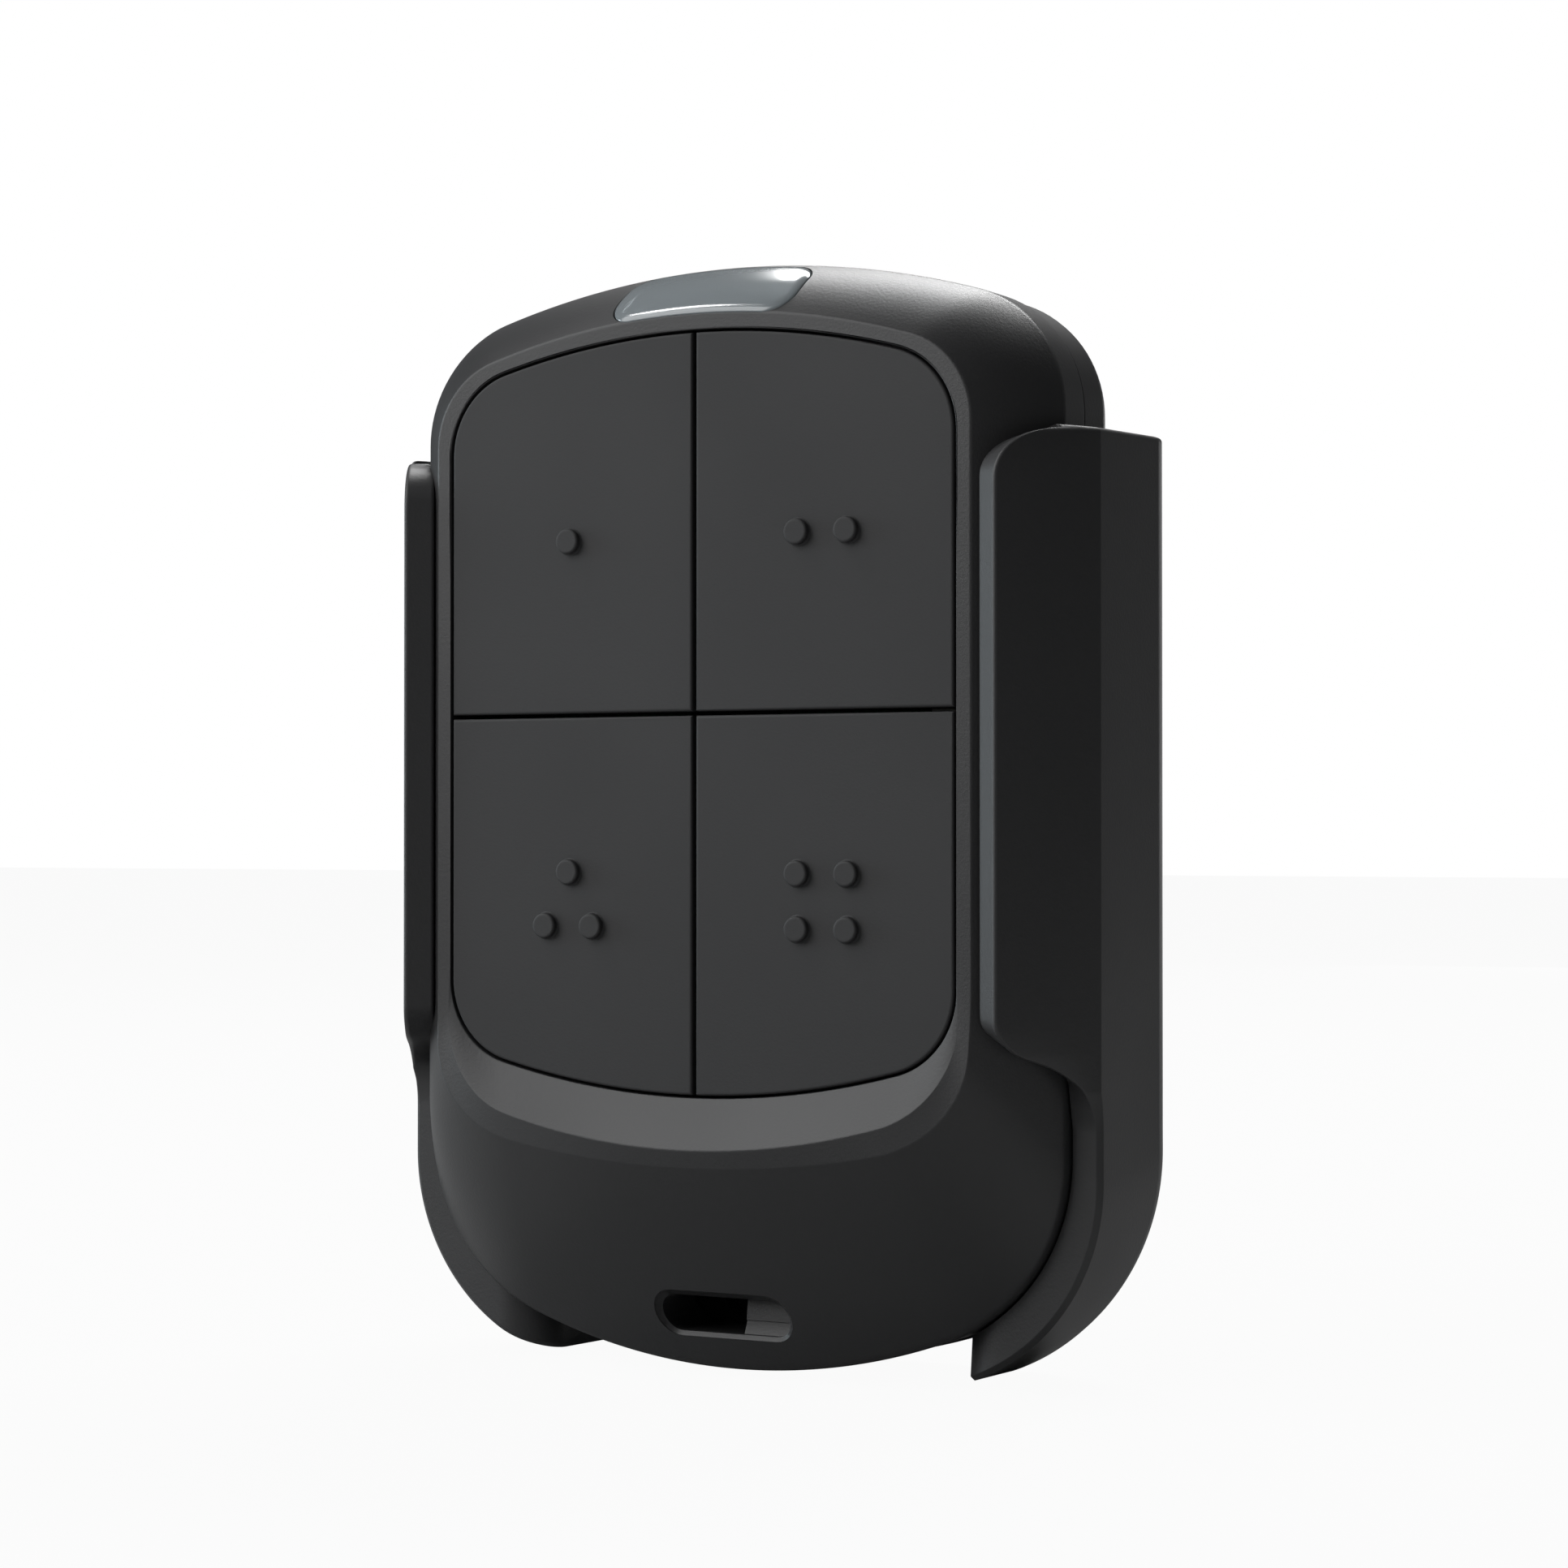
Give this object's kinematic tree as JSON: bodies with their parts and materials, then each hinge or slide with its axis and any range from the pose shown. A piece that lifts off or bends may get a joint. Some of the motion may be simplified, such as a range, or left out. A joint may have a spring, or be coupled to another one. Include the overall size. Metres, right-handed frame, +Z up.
{
  "type": "remote control",
  "caption": "Cloning remote control with raised-dot keys, a light window and a keyring slot, standing in an open wall cradle with inward-leaning wings.",
  "frame": {"origin": "on the flat back face of the cradle, which lies on the wall, on the remote's middle line and at the height of the gap between the upper and lower keys", "axes": "+X to the right seen from the front, +Y back into the wall, +Z up; the keys face -Y"},
  "size_m": [0.0448, 0.017, 0.063],
  "materials": {
    "cradle_plastic": "fine spark-eroded satin",
    "shell_plastic": "fine spark-eroded satin",
    "key_plastic": "matte, finely textured",
    "clear_window": "clear polished polycarbonate",
    "stem_plastic": "moulded",
    "switch_metal": "stamped",
    "board_laminate": "green solder mask",
    "gilded_copper": "gold-flashed copper",
    "cell_steel": "nickel-plated",
    "spring_steel": "bright nickel plate",
    "chip_epoxy": "moulded epoxy",
    "crystal_can": "seam-welded can",
    "diode_resin": "cast resin",
    "screw_steel": "black zinc"
  },
  "bodies": {
    "cradle": {"cradle": "cradle_plastic"},
    "remote": {"front_shell": "shell_plastic", "back_shell": "shell_plastic", "lens": "clear_window", "switch_bodies": "switch_metal", "circuit_board": "board_laminate", "antenna_track": "gilded_copper", "coin_cell": "cell_steel", "cell_clip": "spring_steel", "cell_contact": "gilded_copper", "controller_chip": "chip_epoxy", "radio_chip": "chip_epoxy", "crystal": "crystal_can", "light_diode": "diode_resin", "surface_mount_parts": "chip_epoxy", "housing_screws": "screw_steel"},
    "key_one": {"key_one": "key_plastic", "stem_one": "stem_plastic"},
    "key_two": {"key_two": "key_plastic", "stem_two": "stem_plastic"},
    "key_three": {"key_three": "key_plastic", "stem_three": "stem_plastic"},
    "key_four": {"key_four": "key_plastic", "stem_four": "stem_plastic"}
  },
  "joints": [
    {"name": "remote_slide", "type": "slide", "parent": "cradle", "child": "remote", "axis": [0, 0, 1], "range_m": [0, 0.06]},
    {"name": "key_one_press", "type": "slide", "parent": "remote", "child": "key_one", "axis": [0, 1, 0], "range_m": [0, 0.0005], "stiffness_N_per_m": 3000, "springref_m": -0.0003},
    {"name": "key_two_press", "type": "slide", "parent": "remote", "child": "key_two", "axis": [0, 1, 0], "range_m": [0, 0.0005], "stiffness_N_per_m": 3000, "springref_m": -0.0003},
    {"name": "key_three_press", "type": "slide", "parent": "remote", "child": "key_three", "axis": [0, 1, 0], "range_m": [0, 0.0005], "stiffness_N_per_m": 3000, "springref_m": -0.0003},
    {"name": "key_four_press", "type": "slide", "parent": "remote", "child": "key_four", "axis": [0, 1, 0], "range_m": [0, 0.0005], "stiffness_N_per_m": 3000, "springref_m": -0.0003}
  ]
}
